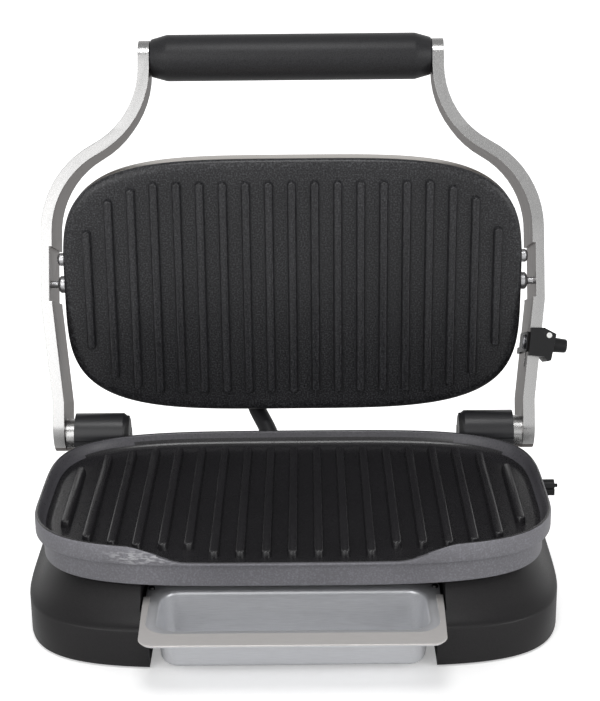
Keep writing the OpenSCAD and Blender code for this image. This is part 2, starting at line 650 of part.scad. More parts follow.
base_housing();
base_cover();
foot(left, front);  // foot_front_left
foot(right, front);  // foot_front_right
foot(left, rear);  // foot_rear_left
foot(right, rear);  // foot_rear_right
base_screw(left, front);  // base_screw_front_left
base_screw(right, front);  // base_screw_front_right
base_screw(left, rear);  // base_screw_rear_left
base_screw(right, rear);  // base_screw_rear_right
plate_skirt();
lower_plate();
lower_element();
lower_reflector();
lower_thermostat();
thermal_fuse();
hinge_housing(left);  // hinge_housing_left
hinge_housing(right);  // hinge_housing_right
hinge_pin(left);  // hinge_pin_left
hinge_pin(right);  // hinge_pin_right
side_keeper();
keeper_rivet();
mains_gland();
lead_gland_base();
arm_left();
arm_right();
handle_grip();
handle_rod();
handle_screw(left);  // handle_screw_left
handle_screw(right);  // handle_screw_right
lid_lead();
lid_plate();
lid_cover();
lid_element();
lid_reflector();
lid_thermostat();
lid_bracket(left);  // lid_bracket_left
lid_bracket(right);  // lid_bracket_right
pivot_pin(left);  // pivot_pin_left
pivot_pin(right);  // pivot_pin_right
stop_pin(left);  // stop_pin_left
stop_pin(right);  // stop_pin_right
lead_gland_lid();
drip_tray();
tray_stud(left);  // tray_stud_left
tray_stud(right);  // tray_stud_right
adjuster_block();
adjuster_plate();
index_dot();
adjuster_knob();
adjuster_screw();
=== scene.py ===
# %% [markdown]
# # Indoor contact grill with its lid open
#
# The grill has two ribbed, non-stick plates. The lower one sits on a dark base
# with a drip tray, and the upper one hangs between the arms of a silver bail.
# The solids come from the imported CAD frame, so every piece here is made in the
# frame's own place. Sizes are in millimetres, and a matrix takes them to metres.

# %% Load the frame
import json
import math
import bmesh
import bpy
from mathutils import Matrix, Vector


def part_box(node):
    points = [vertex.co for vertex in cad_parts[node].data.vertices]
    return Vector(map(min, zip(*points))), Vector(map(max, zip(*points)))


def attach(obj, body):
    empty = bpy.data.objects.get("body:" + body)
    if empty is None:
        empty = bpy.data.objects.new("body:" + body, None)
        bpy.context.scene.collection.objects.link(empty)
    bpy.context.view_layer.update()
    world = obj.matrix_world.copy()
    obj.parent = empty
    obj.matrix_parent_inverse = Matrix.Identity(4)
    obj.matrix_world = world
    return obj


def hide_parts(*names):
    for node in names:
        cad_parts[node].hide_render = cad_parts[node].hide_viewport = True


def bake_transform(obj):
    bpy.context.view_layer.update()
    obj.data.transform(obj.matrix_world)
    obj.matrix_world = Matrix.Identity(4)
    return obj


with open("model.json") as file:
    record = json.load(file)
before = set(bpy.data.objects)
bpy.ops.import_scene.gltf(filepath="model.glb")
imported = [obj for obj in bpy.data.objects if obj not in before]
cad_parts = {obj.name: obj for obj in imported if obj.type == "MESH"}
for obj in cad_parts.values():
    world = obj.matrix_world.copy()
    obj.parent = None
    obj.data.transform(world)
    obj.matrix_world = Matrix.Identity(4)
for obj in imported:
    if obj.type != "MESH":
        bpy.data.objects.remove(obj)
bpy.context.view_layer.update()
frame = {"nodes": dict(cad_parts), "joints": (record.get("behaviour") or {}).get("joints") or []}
nodes = frame["nodes"]
joints = {joint["name"]: joint for joint in frame["joints"]}

# %% [markdown]
# ## Where things are
#
# The CAD draws the grill about three places: the middle of the lower plate, the
# hinge of the bail and the lid's pivots. The same three make matrices here, so
# that a piece can be drawn upright in millimetres and then put in its place.
# Turning each finished object would do too, but a pattern in its material would
# then turn with it, so the place goes into the mesh instead. The ribs are the
# middle of the drawing, and the plate's outline lies 2 mm in front of them.

# %% The three places
MM = 0.001
LEAN = math.radians(20.6)
PLATE_Y = -2
plate_low, plate_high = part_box("lower_plate")
lid_low, lid_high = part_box("lid_plate")
hinge = Vector(joints["arm_lift"]["pos_m"])
pivot = Vector(joints["lid_tilt"]["pos_m"])
plate_middle = (plate_low + plate_high) / 2
middle = Vector((plate_middle.x, plate_middle.y - PLATE_Y * MM, 0))
IN_PLACE = Matrix.Identity(4)
TO_METRES = Matrix.Scale(MM, 4)
BASE = Matrix.Translation(middle) @ TO_METRES
ARM = Matrix.Translation((middle.x, hinge.y, hinge.z)) @ Matrix.Rotation(-LEAN, 4, "X") @ TO_METRES
LID = Matrix.Translation((middle.x, lid_low.y, pivot.z)) @ Matrix.Rotation(math.pi / 2, 4, "X") @ TO_METRES
print("middle of the ribs:", [round(v, 4) for v in middle])
print("lid plate:", [round(v / MM, 1) for v in lid_high - lid_low], "mm")

# %% [markdown]
# ## Camera
#
# The photograph was taken from a little above and in front, with a long lens.
# A camera could be turned by eye, but its place was fitted to the ends of the
# ribs on both plates, which gives the lens as well. The lens is written for the
# picture's height, which is its longer side.

# %% Camera
CAMERA_AT = (10.1, -988.3, 505.9)
PITCH, YAW, ROLL = 0.33686, -0.00494, -0.01032
LENS_PIXELS, PICTURE_HEIGHT, SENSOR_HEIGHT = 1700, 701, 36

ahead = Vector((math.sin(YAW) * math.cos(PITCH), math.cos(YAW) * math.cos(PITCH), -math.sin(PITCH)))
level = Vector((math.cos(YAW), -math.sin(YAW), 0))
above = level.cross(ahead)
to_right = math.cos(ROLL) * level + math.sin(ROLL) * above
upward = -math.sin(ROLL) * level + math.cos(ROLL) * above
camera = bpy.data.objects.new("camera", bpy.data.cameras.new("camera"))
camera.data.sensor_fit = "VERTICAL"
camera.data.sensor_height = SENSOR_HEIGHT
camera.data.lens = SENSOR_HEIGHT * LENS_PIXELS / PICTURE_HEIGHT
camera.data.clip_end = 20
turn = Matrix((to_right, upward, -ahead)).transposed().to_4x4()
camera.matrix_world = Matrix.Translation(BASE @ Vector(CAMERA_AT)) @ turn
bpy.context.collection.objects.link(camera)
bpy.context.scene.camera = camera
print("lens:", round(camera.data.lens, 1), "mm")

# %% [markdown]
# ## Making and finishing pieces
#
# Most forms on the grill are a closed outline that changes a little from level
# to level: the plates, the cover, the base and the tray. A grid of points could
# be worked out for each, but an extruded ring keeps the faces in order by
# itself. So one helper starts with a circle, lets each point remember its angle,
# and extrudes the ring from level to level while it moves the points onto that
# level's outline.


# %% Rings from level to level
def loft(levels, segments):
    """Extrudes a ring of points through levels, each a function from an angle to a place."""
    bm = bmesh.new()
    own_angle = bm.verts.layers.float.new("angle")
    verts = bmesh.ops.create_circle(bm, cap_ends=False, radius=1, segments=segments)["verts"]
    edges = bm.edges[:]
    for v in verts:
        v[own_angle] = math.atan2(v.co.y, v.co.x)
        v.co = levels[0](v[own_angle])
    bmesh.ops.contextual_create(bm, geom=edges)
    for level_at in levels[1:]:
        made = bmesh.ops.extrude_edge_only(bm, edges=edges)["geom"]
        verts = {g for g in made if isinstance(g, bmesh.types.BMVert)}
        edges = [g for g in made if isinstance(g, bmesh.types.BMEdge) and set(g.verts) <= verts]
        for v in verts:
            v.co = level_at(v[own_angle])
    bmesh.ops.contextual_create(bm, geom=edges)
    return bm


def superellipse(half_w, half_d, power, y, z):
    """The squarish oval of the plates and the base, as a level for loft."""
    def at(angle):
        across, along = math.cos(angle), math.sin(angle)
        x = half_w * math.copysign(abs(across) ** (2 / power), across)
        return Vector((x, y + half_d * math.copysign(abs(along) ** (2 / power), along), z))
    return at


def round_rect(half_w, front, back, radius, z):
    """A rectangle with round corners, as a level for loft."""
    mid, half_d = (front + back) / 2, (back - front) / 2

    def at(angle):
        across, along = math.cos(angle), math.sin(angle)
        x = math.copysign(half_w - radius, across) + radius * across
        return Vector((x, mid + math.copysign(half_d - radius, along) + radius * along, z))
    return at


corner = superellipse(1, 1, 4, 0, 0)(math.pi / 4)
print("a circle of radius 1 with power 4 reaches out to", round(corner.length, 2), "at its corners")

# %% [markdown]
# A second helper spins a profile round the x axis, for the grip, the hinge cores
# and the studs. A cylinder with a bevel would do for some of them, but a profile
# says each step and cone in one list. A third helper takes a CAD node's own shape
# and joins its loose triangles into whole faces, so that its edges can be given a
# small bevel.


# %% Turned pieces and copies of CAD nodes
WELD, FLAT = 2e-6, math.radians(0.6)


def turned(profile, segments=48):
    """Spins (x, radius) points round the x axis into a closed solid."""
    bm = bmesh.new()
    verts = [bm.verts.new((x, 0, radius)) for x, radius in profile]
    edges = [bm.edges.new(pair) for pair in zip(verts, verts[1:])]
    bmesh.ops.spin(bm, geom=verts + edges, axis=(1, 0, 0), cent=(0, 0, 0), angle=math.tau,
                   steps=segments, use_merge=True)
    bmesh.ops.remove_doubles(bm, verts=bm.verts, dist=1e-4)
    rims = [edge for edge in bm.edges if edge.is_boundary]
    bmesh.ops.holes_fill(bm, edges=rims, sides=0)
    return bm


def copy_of(node):
    """A CAD node's mesh with its triangles joined into flat faces. It is in metres already."""
    bm = bmesh.new()
    bm.from_mesh(nodes[node].data)
    bmesh.ops.remove_doubles(bm, verts=bm.verts, dist=WELD)
    bmesh.ops.dissolve_limit(bm, angle_limit=FLAT, verts=bm.verts, edges=bm.edges)
    return bm


print("corners nearer than", WELD / MM, "mm are one")

# %% [markdown]
# Every finished piece goes through one last helper. It takes the mesh to its
# place in metres, turns the faces outwards, adds the bevel, gives the materials
# and lets the piece ride on its CAD body in place of the node. Real edges are
# never sharp, and the bevel is what catches the light. It is a modifier, so one
# width and one angle serve a whole piece, where a bevel by hand would need its
# edges picked.


def finish(bm, name, body, material, place=IN_PLACE, stands_for=(), bevel=0.0, sharp=32, segments=2):
    """Makes the mesh an object in its place, with one finish or a list. Bevel is in mm, sharp in degrees."""
    bm.transform(place)
    bmesh.ops.recalc_face_normals(bm, faces=bm.faces)
    mesh = bpy.data.meshes.new(name)
    bm.to_mesh(mesh)
    bm.free()
    mesh.shade_smooth()
    mesh.set_sharp_from_angle(angle=math.radians(sharp))
    piece = bpy.data.objects.new(name, mesh)
    bpy.context.collection.objects.link(piece)
    for coat in material if isinstance(material, list) else [material]:
        mesh.materials.append(coat)
    if bevel:
        edge = piece.modifiers.new("edge", "BEVEL")
        edge.width = bevel * MM
        edge.segments = segments
        edge.limit_method = "ANGLE"
        edge.angle_limit = math.radians(sharp)
        edge.harden_normals = True
    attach(piece, body)
    if stands_for:
        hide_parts(*stands_for)
    return piece


# %% [markdown]
# ## Materials
#
# Each finish on the grill is one tone with a fine pattern that shifts the colour,
# the roughness and the height together, as flecks, mould grain and brushing do.
# An image could show that too, but noise has no seams, and its size can be given
# in millimetres. Colours are written as they look on a screen, and one function
# turns them to linear light. One more adds a node with its settings and links.
# All patterns read Object coordinates, which are metres here, so a pattern of a
# given size in millimetres has a scale of a thousand over that size.


# %% Colour and nodes
def colour(code):
    """An sRGB hex colour as linear red, green, blue and alpha."""
    parts = [int(code[i:i + 2], 16) / 255 for i in (1, 3, 5)]
    return [p / 12.92 if p <= 0.04045 else ((p + 0.055) / 1.055) ** 2.4 for p in parts] + [1.0]


def add(tree, kind, settings=None, links=None):
    """Adds a node, then sets its properties or sockets and links outputs to its sockets."""
    node = tree.nodes.new(kind)
    for key, value in (settings or {}).items():
        if isinstance(key, str) and hasattr(node, key):
            setattr(node, key, value)
        else:
            node.inputs[key].default_value = value
    for key, output in (links or {}).items():
        tree.links.new(output, node.inputs[key])
    return node


print("mid grey on the screen is", round(colour("#808080")[0], 3), "in linear light")


# %% One finish with a fine pattern
def plain_finish(name, tone, roughness, metallic=0.0, shine=0.5):
    """A material of one tone, with its tree, its shader and its Object coordinates."""
    material = bpy.data.materials.new(name)
    material.use_nodes = True
    tree = material.node_tree
    shader = tree.nodes["Principled BSDF"]
    shader.inputs["Base Color"].default_value = colour(tone)
    shader.inputs["Roughness"].default_value = roughness
    shader.inputs["Metallic"].default_value = metallic
    shader.inputs["Specular IOR Level"].default_value = shine
    place = add(tree, "ShaderNodeTexCoord").outputs["Object"]
    return material, tree, shader, place


def patterned(name, dark, light, roughness, size, depth, metallic=0.0, shine=0.5,
              stretch=(1, 1, 1), detail=2, tones=(0.3, 0.7), swing=(-0.05, 0.07)):
    """A finish whose pattern moves colour, roughness and height. Size and depth are in mm."""
    material, tree, shader, place = plain_finish(name, dark, roughness, metallic, shine)
    drawn = add(tree, "ShaderNodeMapping", {"Scale": stretch}, {"Vector": place})
    pattern = add(tree, "ShaderNodeTexNoise", {"Scale": 1 / (size * MM), "Detail": detail},
                  {"Vector": drawn.outputs["Vector"]}).outputs["Fac"]
    ramp = add(tree, "ShaderNodeValToRGB", {}, {"Fac": pattern})
    for stop, position, tone in zip(ramp.color_ramp.elements, tones, (dark, light)):
        stop.position = position
        stop.color = colour(tone)
    rough = add(tree, "ShaderNodeMapRange",
                {"From Min": 0.3, "From Max": 0.7, "To Min": roughness + swing[0],
                 "To Max": roughness + swing[1]}, {"Value": pattern})
    bump = add(tree, "ShaderNodeBump", {"Strength": 1.0, "Distance": depth * MM}, {"Height": pattern})
    tree.links.new(ramp.outputs["Color"], shader.inputs["Base Color"])
    tree.links.new(rough.outputs["Result"], shader.inputs["Roughness"])
    tree.links.new(bump.outputs["Normal"], shader.inputs["Normal"])
    return material


def lay_over(material, settings, links):
    """Mixes a tone over a finish's colour. Socket 0 takes the share and socket 7 the tone."""
    tree = material.node_tree
    colour_in = tree.nodes["Principled BSDF"].inputs["Base Color"]
    under = colour_in.links[0].from_socket
    mixed = add(tree, "ShaderNodeMix", {"data_type": "RGBA", **settings}, {6: under, **links})
    tree.links.new(mixed.outputs[2], colour_in)


print("a pattern of 1 mm has a scale of", round(1 / MM))

# %% [markdown]
# The plates are die-cast aluminium with a sprayed non-stick coating. The coating
# is dark grey with fine lighter flecks, a faint orange-peel surface and wide
# clouds where it lies thicker, so the eye gets a broad, soft sheen. The flecks
# are drawn about a millimetre across, which is coarser than the real ones,
# because finer ones don't show in the render. The rim's inner wall and the band
# outside get lighter copies of the same coating, which are painted light: a
# painted highlight on the wall, and a painted lit tone on the band and on the
# skirt below it.

# %% Sprayed non-stick coating
CLOUD_MM, CLOUD_TONE, CLOUD_SHARE = 60, "#b8b8b8", 0.35


def non_stick(name, dark, light, roughness, shine, depth, fleck=1.1):
    """The coating with its flecks and clouds. Depth and fleck are in mm."""
    material = patterned(name, dark, light, roughness, fleck, depth, shine=shine,
                         tones=(0.45, 0.72), swing=(-0.06, 0.1))
    tree = material.node_tree
    place = add(tree, "ShaderNodeTexCoord").outputs["Object"]
    clouds = add(tree, "ShaderNodeTexNoise", {"Scale": 1 / (CLOUD_MM * MM), "Detail": 2}, {"Vector": place})
    shade = add(tree, "ShaderNodeMapRange",
                {"From Min": 0.35, "From Max": 0.65, "To Min": colour(CLOUD_TONE)[0], "To Max": 1.0},
                {"Value": clouds.outputs["Fac"]})
    lay_over(material, {"blend_type": "MULTIPLY", 0: CLOUD_SHARE}, {7: shade.outputs["Result"]})
    return material


lid_coating = non_stick("non_stick_coating_lid", "#1f1f21", "#4b4b4e", 0.33, 0.35, 0.03)
plate_coating = non_stick("non_stick_coating_lower", "#201f21", "#2a292c", 0.25, 0.5, 0.004, 0.4)
# A lighter copy of the coating, a painted highlight on the rim's inner wall.
rim_wall_highlight_coating = non_stick("non_stick_coating_rim_painted_highlight", "#4c4b4f", "#59585d", 0.32, 0.4, 0.01)
# A lighter copy of the coating, a painted lit tone on the band and the skirt; the scuffed patch is laid over
# it below.
painted_lit_scuffed_coating = non_stick("non_stick_coating_painted_lit_and_scuffed", "#77767b", "#8a8a90", 0.42, 0.3, 0.02)
print("coatings:", lid_coating.name, plate_coating.name, rim_wall_highlight_coating.name, painted_lit_scuffed_coating.name)

# %% [markdown]
# The front band is scuffed on the left, where use has rubbed the coating to a
# lighter grey in short streaks. A separate piece or a painted mask could show
# that. A soft round patch times stretched noise needs neither, and it stays at
# its place on the plate.

# %% Scuffed patch
SCUFF_AT, SCUFF_REACH, SCUFF_TONE = (-87, -94, 66), (30, 30, 6), "#b5b5b8"
STREAK_MM, STREAK_STRETCH = 1.3, (0.25, 1, 1)


def scuff(material, at, reach, tone):
    """Lightens a coating in streaks round a place. Both are in metres."""
    tree = material.node_tree
    place = add(tree, "ShaderNodeTexCoord").outputs["Object"]
    near = add(tree, "ShaderNodeMapping", {"Location": [-a / r for a, r in zip(at, reach)],
                                           "Scale": [1 / r for r in reach]}, {"Vector": place})
    far = add(tree, "ShaderNodeVectorMath", {"operation": "LENGTH"}, {0: near.outputs["Vector"]})
    patch = add(tree, "ShaderNodeMapRange", {"From Min": 0.3, "From Max": 1.0, "To Min": 0.9, "To Max": 0.0},
                {"Value": far.outputs["Value"]})
    drawn = add(tree, "ShaderNodeMapping", {"Scale": STREAK_STRETCH}, {"Vector": place})
    rubbed = add(tree, "ShaderNodeTexNoise", {"Scale": 1 / (STREAK_MM * MM), "Detail": 5},
                 {"Vector": drawn.outputs["Vector"]})
    streaks = add(tree, "ShaderNodeMapRange", {"From Min": 0.46, "From Max": 0.6},
                  {"Value": rubbed.outputs["Fac"]})
    mask = add(tree, "ShaderNodeMath", {"operation": "MULTIPLY"},
               {0: patch.outputs["Result"], 1: streaks.outputs["Result"]})
    lay_over(material, {7: colour(tone)}, {0: mask.outputs[0]})


scuff(painted_lit_scuffed_coating, BASE @ Vector(SCUFF_AT), [r * MM for r in SCUFF_REACH], SCUFF_TONE)
print("scuffed patch:", 2 * SCUFF_REACH[0], "by", 2 * SCUFF_REACH[2], "mm")

# %% [markdown]
# The arms, the cover, the tray and its trim are aluminium with a satin finish:
# anodised or brushed along the length, which draws the highlights out across it.
# The pins and screws are turned or plated steel, and the heaters have a dull
# steel sheath. Noise that is stretched along one axis gives the brushing. Its
# lines are drawn half a millimetre apart, coarser than the real ones, and the
# arms' sides keep the wider lines of the extrusion. These sides also get a
# darker tone, which is painted shade. The tray, the trim and the pins are only
# part metallic here, because they mirror a studio that the scene doesn't have.


# %% Satin and bright metals
def satin_metal(name, dark, light, roughness, along, size=0.5, depth=0.01, metallic=1.0):
    """A metal whose grain is stretched by small numbers in along. Size and depth are in mm."""
    return patterned(name, dark, light, roughness, size, depth, metallic, stretch=along, detail=3)


arm_metal = satin_metal("satin_anodised_aluminium_arms", "#b4b3b3", "#babab9", 0.24, (1, 1, 0.04),
                        0.5, 0.002)
# A darker copy for the arms' sides towards the lid: painted shade.
painted_shade_side_metal = satin_metal("arm_sides_painted_shade", "#544e4b", "#78716e", 0.32, (0.02, 1, 0.02),
                         1.6, 0.02)
cover_metal = satin_metal("brushed_aluminium_cover", "#a8a29a", "#b8b3ad", 0.34, (0.04, 1, 1))
tray_metal = satin_metal("satin_aluminium_tray", "#d6d7da", "#e0e1e4", 0.34, (0.06, 1, 1), 0.5, 0.006, 0.5)
trim_metal = satin_metal("satin_anodised_aluminium_trim", "#c9c6c4", "#d0cdcb", 0.42, (0.06, 1, 1),
                         0.5, 0.004, 0.3)
pin_metal = satin_metal("turned_steel_pins", "#c4c4c6", "#d0d0d2", 0.3, (1, 1, 1), 0.3, 0.004, 0.8)
zinc_metal = satin_metal("zinc_plated_steel", "#9c9ca0", "#aaaaae", 0.35, (1, 1, 1), 0.8)
sheath_metal = satin_metal("heater_sheath_steel", "#6f6a62", "#7c766e", 0.5, (1, 1, 1), 2)
reflector_metal = satin_metal("bright_aluminium_sheet", "#bebebe", "#cacaca", 0.25, (0.05, 1, 1))
print("metals on the outside:", arm_metal.name, cover_metal.name, tray_metal.name, trim_metal.name)

# %% [markdown]
# The base, the housings and the small fittings are moulded plastic. A
# spark-eroded mould leaves a fine grain that breaks up the shine, so the base
# looks matt and the smoother housings a little glossy. The grip is a harder,
# coarser moulding, the feet and the glands are rubber, and the thermostats are
# unglazed ceramic. They differ only in tone, gloss and grain, so one function
# makes them all.


# %% Moulded plastics, rubber and ceramic
def moulded(name, dark, light, roughness, size, depth, shine=0.3):
    """A moulded finish with its grain. Size and depth are in mm."""
    return patterned(name, dark, light, roughness, size, depth, shine=shine,
                     tones=(0.3, 0.8), swing=(-0.05, 0.06))


base_plastic = moulded("charcoal_abs_base", "#1d1c1d", "#272627", 0.4, 0.8, 0.01, 0.25)
housing_plastic = moulded("charcoal_abs_housings", "#1c1c1e", "#29292c", 0.34, 0.7, 0.012, 0.5)
grip_plastic = moulded("phenolic_grip", "#171718", "#343437", 0.42, 0.7, 0.05)
black_plastic = moulded("black_nylon_fittings", "#121213", "#1a1a1c", 0.36, 0.5, 0.01)
rubber = moulded("black_rubber", "#141415", "#1d1d1e", 0.65, 0.7, 0.02)
flex_rubber = moulded("silicone_lead_sleeve", "#1a1a1c", "#232326", 0.5, 0.6, 0.02)
ceramic = moulded("steatite_ceramic", "#cfc9bb", "#dcd7ca", 0.6, 1.2, 0.02)
white_spot_material = moulded("white_spot_finish", "#e9e9e7", "#f2f2f0", 0.45, 0.6, 0.005)
print("plastics on the outside:", base_plastic.name, housing_plastic.name, grip_plastic.name)

# %% [markdown]
# ## Lower plate
#
# The plate is one casting: a floor with nineteen round-ended ribs inside a raised
# rim, which dips at the front into a wide pour lip. A flat plate with the rim
# added to it would show a joint, so the rim is made from the underside round to
# the floor as one run of rings. The lip is a drop that is taken off the height of
# the front points, and the ribs stand a little way into the floor.

# %% Sizes of the plates
HALF_W, HALF_D, POWER = 159, 95.5, 3.9
RIB_TOP, RIB_H, RIB_W = 65.5, 4.5, 6.6
FLOOR = RIB_TOP - RIB_H
RIM = RIB_TOP + 4
LIP_DROP, LIP_INNER, LIP_OUTER, FRONT_RISE = 6, 61.5, 98.5, 3.1
RISE_START, RISE_RUN = 8, 60
RIB_COUNT, RIB_PITCH, RIB_LEN = 19, 15.5, 151.6
RIB_SIDES, RIB_EDGE, RIB_SINK = 24, 0.9, 0.5
LIP_RIBS, LIP_REACH = 7, 11.4
RIB_OVAL_W, RIB_OVAL_D = (RIB_COUNT - 1) / 2 * RIB_PITCH + 3.3, RIB_LEN / 2 + 4.2
print("rim height above the floor:", RIM - FLOOR, "mm")


# %% Rim and ribs
def ease(u):
    """A smooth step from 0 to 1."""
    u = max(0, min(1, u))
    return u * u * (3 - 2 * u)


def rim_level(inset, z, share=0.0):
    """A ring of the lower plate, with its share of the front's rise and of the pour lip's drop."""
    ring = superellipse(HALF_W - inset, HALF_D - inset, POWER, PLATE_Y, z)

    def at(angle):
        p = ring(angle)
        lip = ease((LIP_OUTER - abs(p.x)) / (LIP_OUTER - LIP_INNER)) if p.y < PLATE_Y else 0
        rise = FRONT_RISE * ease((PLATE_Y - p.y - RISE_START) / RISE_RUN)
        p.z += share * (rise * (1 - lip) - LIP_DROP * lip)
        return p
    return at


def rib_half(x):
    """Half the length of the rib at x: the outer ribs end on a squarish oval and get shorter."""
    return min(RIB_LEN / 2, RIB_OVAL_D * (1 - (abs(x) / RIB_OVAL_W) ** POWER) ** (1 / POWER))


def add_rib(bm, x, start, end, foot, top):
    """A bar with round ends, sloping sides and a softened top edge."""
    radius = RIB_W / 2
    made = bmesh.ops.create_circle(bm, cap_ends=True, radius=radius, segments=RIB_SIDES,
                                   matrix=Matrix.Rotation(math.pi / RIB_SIDES, 4, "Z"))
    verts = made["verts"]
    face = next(f for f in verts[0].link_faces if len(f.verts) == RIB_SIDES)
    for v in verts:
        end_y = end - radius if v.co.y > 0 else start + radius
        v.co = Vector((x + v.co.x, end_y + v.co.y, foot))
    made = bmesh.ops.extrude_face_region(bm, geom=[face])["geom"]
    for v in (g for g in made if isinstance(g, bmesh.types.BMVert)):
        end_y = end - radius if v.co.y > (start + end) / 2 else start + radius
        centre = Vector((x, end_y, foot))
        v.co = centre + (v.co - centre) * (1 - RIB_EDGE / radius)
        v.co.z = top
    cap = next(g for g in made if isinstance(g, bmesh.types.BMFace))
    bmesh.ops.bevel(bm, geom=list(cap.edges), offset=RIB_EDGE, segments=3, profile=0.5,
                    affect="EDGES", material=-1)


def add_ribs(bm, foot, top, reach):
    """All the ribs of a plate. The middle seven reach further to the front."""
    for place_in_row in range(-(RIB_COUNT // 2), RIB_COUNT // 2 + 1):
        x = place_in_row * RIB_PITCH
        half = rib_half(x)
        on_lip = abs(place_in_row) <= LIP_RIBS // 2
        add_rib(bm, x, -half - (reach if on_lip else 0), half, foot, top)


shortest = 2 * rib_half((RIB_COUNT - 1) / 2 * RIB_PITCH)
print("ribs on each plate:", RIB_COUNT, "and the shortest is", round(shortest, 1), "mm")

# %% [markdown]
# The band outside and the rim's inner wall carry lighter shades of the coating,
# which are painted light: a lit tone on the band and a highlight on the wall. Two
# more pieces could carry them, but the casting has no joint there, so a helper
# gives the faces another material number by their place and direction. Below the
# plate, a set-in skirt with the band's lighter coating closes the gap to the base.


# %% Lower plate
def paint(bm, number, chosen):
    """Gives the faces for which chosen(centre, normal) holds the material of that number."""
    bmesh.ops.recalc_face_normals(bm, faces=bm.faces)
    for face in bm.faces:
        if chosen(face.calc_center_median(), face.normal):
            face.material_index = number


WALL_START, BAND_START = 0.85, 0.985


def out_from_middle(centre):
    """How far out a place on the plate is: 1 on its outline."""
    return (abs(centre.x) / HALF_W) ** POWER + (abs(centre.y - PLATE_Y) / HALF_D) ** POWER


def on_band(centre, normal):
    """The upright band round the plate, which gets the painted lit tone."""
    return out_from_middle(centre) > BAND_START and normal.z < 0.8


def on_wall(centre, normal):
    """The inner wall of the rim, above the round that leads into the floor, which gets the painted highlight.
    """
    on_rim = WALL_START < out_from_middle(centre) < BAND_START
    return on_rim and centre.z > FLOOR + 2 and 0.1 < normal.z < 0.93


EDGE_IN = 7.3
rim_levels = [
    rim_level(EDGE_IN + 2, FLOOR - 4.5), rim_level(EDGE_IN, FLOOR - 3), rim_level(EDGE_IN, FLOOR),
    rim_level(1.2, FLOOR), rim_level(0.3, FLOOR + 0.25), rim_level(0, FLOOR + 0.8),
    rim_level(0, RIM - 1.4, 1), rim_level(0.15, RIM - 0.65, 1), rim_level(0.6, RIM - 0.15, 1),
    rim_level(1.2, RIM, 1), rim_level(1.9, RIM - 0.1, 1), rim_level(2.5, RIM - 0.6, 1),
    rim_level(3.1, RIM - 1.7, 0.95), rim_level(3.9, FLOOR + 4.6, 0.62), rim_level(4.8, FLOOR + 2.7, 0.33),
    rim_level(6, FLOOR + 1.35, 0.12), rim_level(7.8, FLOOR + 0.4), rim_level(9.8, FLOOR)]
plate_mesh = loft(rim_levels, 288)
add_ribs(plate_mesh, FLOOR - RIB_SINK, RIB_TOP, LIP_REACH)
# The band gets the painted lit tone and the rim's inner wall the painted highlight.
paint(plate_mesh, 1, on_band)
paint(plate_mesh, 2, on_wall)
grill_plate = finish(plate_mesh, "lower_grill_plate", "base", [plate_coating, painted_lit_scuffed_coating, rim_wall_highlight_coating],
                     BASE, ["lower_plate"])
print("lower plate faces:", len(grill_plate.data.polygons))

# %% Skirt under the plate
SKIRT_Z, SKIRT_IN, SKIRT_WALL = FLOOR - 15, 4.5, 2.5


def skirt_level(inset, z):
    """A ring of the skirt, set in from the plate's outline."""
    return superellipse(HALF_W - SKIRT_IN - inset, HALF_D - SKIRT_IN - inset, POWER, PLATE_Y, z)


skirt_mesh = loft([skirt_level(SKIRT_WALL, SKIRT_Z + 1), skirt_level(SKIRT_WALL, FLOOR - 0.02),
                   skirt_level(0, FLOOR - 0.02), skirt_level(0, SKIRT_Z + 0.6),
                   skirt_level(0.6, SKIRT_Z), skirt_level(8, SKIRT_Z)], 288)
# The skirt gets the band's lighter coating, a painted lit tone.
finish(skirt_mesh, "lower_plate_skirt", "base", painted_lit_scuffed_coating, BASE, ["plate_skirt"])
print("skirt height:", FLOOR - SKIRT_Z, "mm")

# %% [markdown]
# ## Base
#
# The base is a wide moulded shell whose shoulder sweeps in under the plate, with
# a bay for the drip tray cut out of its front. Rings give the sweep. The bay, its
# ledges and the recess for the bottom cover could be drawn into the rings, but
# their corners are square, so a Boolean cuts them with plain blocks. Two
# pedestals carry the hinge housings and a round boss at the back holds the lead.


# %% Cutting and joining
def cut(bm, cutter):
    """Takes one closed mesh out of another with a Boolean and gives back the result."""
    made = []
    for source in (bm, cutter):
        mesh = bpy.data.meshes.new("cut")
        bmesh.ops.recalc_face_normals(source, faces=source.faces)
        source.to_mesh(mesh)
        source.free()
        made.append(bpy.data.objects.new("cut", mesh))
        bpy.context.collection.objects.link(made[-1])
    knife = made[0].modifiers.new("cut", "BOOLEAN")
    knife.operation = "DIFFERENCE"
    knife.solver = "EXACT"
    knife.object = made[1]
    result = bmesh.new()
    result.from_object(made[0], bpy.context.evaluated_depsgraph_get())
    for item in made:
        bpy.data.objects.remove(item)
    return result


def block(low, high):
    """A box between two corners, for cutting with."""
    bm = bmesh.new()
    size = [b - a for a, b in zip(low, high)]
    centre = [(a + b) / 2 for a, b in zip(low, high)]
    bmesh.ops.create_cube(bm, size=1, matrix=Matrix.Translation(centre) @ Matrix.Diagonal((*size, 1)))
    return bm


def join(bm, other):
    """Adds another mesh to one and frees it."""
    mesh = bpy.data.meshes.new("join")
    other.to_mesh(mesh)
    other.free()
    bm.from_mesh(mesh)
    return bm


